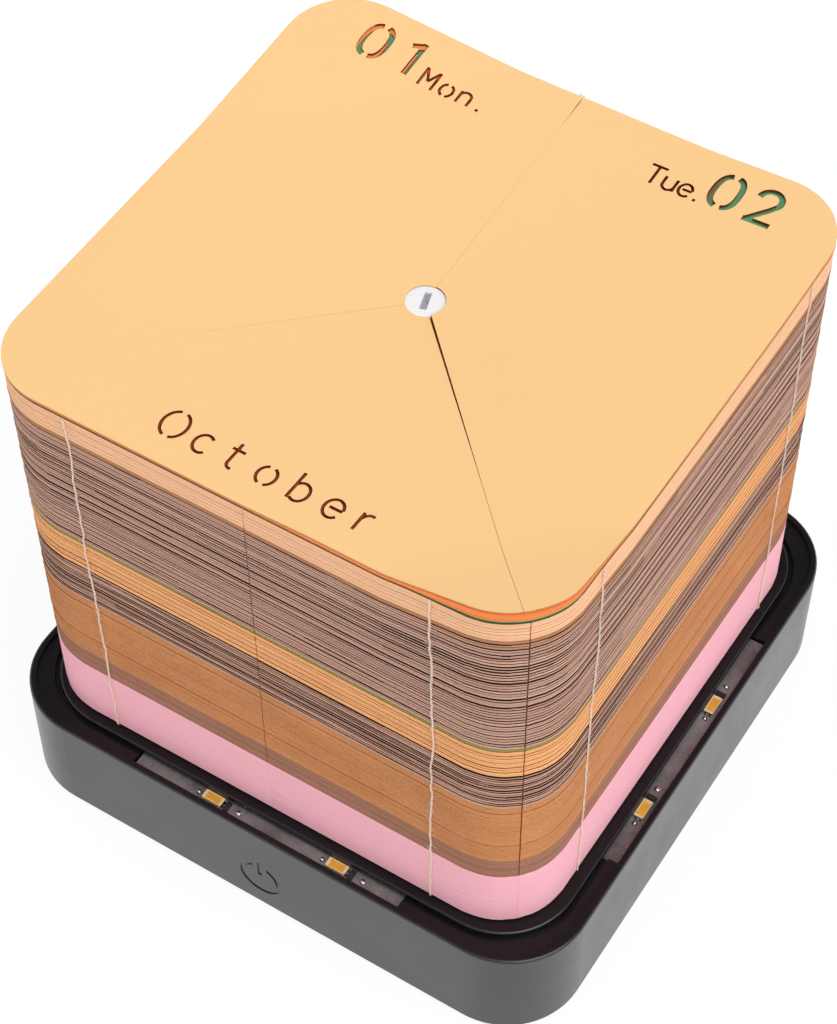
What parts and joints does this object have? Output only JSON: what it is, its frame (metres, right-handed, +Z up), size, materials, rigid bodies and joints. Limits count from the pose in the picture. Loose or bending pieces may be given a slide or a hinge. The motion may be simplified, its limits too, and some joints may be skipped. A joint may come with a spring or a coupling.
{
  "type": "tear-off desk calendar on a lamp base",
  "caption": "Block of tear-off paper leaves in bands of colour, held by cotton threads and a centre pin, on a shallow lamp base with edge windows and a touch key.",
  "frame": {"origin": "on the table under the middle of the base", "axes": "+Z up; -Y the front with the power sign; +Y the back with the charging socket; +X to the right"},
  "size_m": [0.1, 0.1, 0.0991],
  "materials": {
    "top_paper": "matte, dyed through",
    "orange_paper": "matte, dyed through",
    "green_paper": "matte, dyed through",
    "peach_paper": "matte, dyed through",
    "mauve_paper": "matte, dyed through",
    "olive_paper": "matte, dyed through",
    "amber_paper": "matte, dyed through",
    "umber_paper": "matte, dyed through",
    "caramel_paper": "matte, dyed through",
    "taupe_paper": "matte, dyed through",
    "pink_paper": "matte, dyed through",
    "base_paper": "matte, dyed through",
    "housing_plastic": "satin moulded",
    "cover_plastic": "fine spark texture",
    "foot_rubber": "matte",
    "screw_steel": "zinc plated, dark",
    "strip_board": "grey solder mask",
    "lamp_yellow": "clear gel over phosphor",
    "resistor_body": "glazed, tinned ends",
    "board_green": "solder mask",
    "chip_black": "moulded",
    "socket_steel": "nickel plated",
    "tongue_plastic": "moulded",
    "cell_foil": "laminated pouch",
    "pad_foam": "foam",
    "foil_copper": "copper foil",
    "tape_film": "adhesive film",
    "cap_white": "smooth",
    "blade_steel": "cut strip",
    "thread_cotton": "fuzzy twisted cotton",
    "wire_sleeve": "extruded sleeve"
  },
  "bodies": {
    "base": {"top_housing": "housing_plastic", "bottom_cover": "cover_plastic", "cover_screws": "screw_steel", "rubber_feet": "foot_rubber", "led_strip_front": "strip_board", "led_strip_right": "strip_board", "led_strip_back": "strip_board", "led_strip_left": "strip_board", "led_chips": "lamp_yellow", "strip_resistors": "resistor_body", "control_board": "board_green", "board_screws": "screw_steel", "usb_socket": "socket_steel", "usb_tongue": "tongue_plastic", "touch_chip": "chip_black", "board_parts": "chip_black", "battery_cell": "cell_foil", "battery_pad": "pad_foam", "touch_plate": "foil_copper", "block_tape": "tape_film", "base_leaf": "base_paper", "pink_leaves": "pink_paper", "taupe_leaves": "taupe_paper", "caramel_leaves": "caramel_paper", "umber_leaves": "umber_paper", "amber_leaves": "amber_paper", "olive_leaf": "olive_paper", "mauve_leaves": "mauve_paper", "peach_leaves": "peach_paper", "green_leaf": "green_paper", "orange_leaf": "orange_paper", "centre_cap": "cap_white", "centre_blade": "blade_steel", "binding_threads": "thread_cotton", "strip_leads": "wire_sleeve", "feed_leads": "wire_sleeve", "battery_leads": "wire_sleeve", "touch_lead": "wire_sleeve"},
    "day_one": {"day_one_panel": "top_paper"},
    "day_two": {"day_two_panel": "top_paper"},
    "month": {"month_panel": "top_paper"}
  },
  "joints": [
    {"name": "day_one_lift", "type": "slide", "parent": "base", "child": "day_one", "axis": [0, 0, 1], "range_m": [0, 0.03]},
    {"name": "day_two_lift", "type": "slide", "parent": "base", "child": "day_two", "axis": [0, 0, 1], "range_m": [0, 0.03]},
    {"name": "month_lift", "type": "slide", "parent": "base", "child": "month", "axis": [0, 0, 1], "range_m": [0, 0.03]}
  ]
}
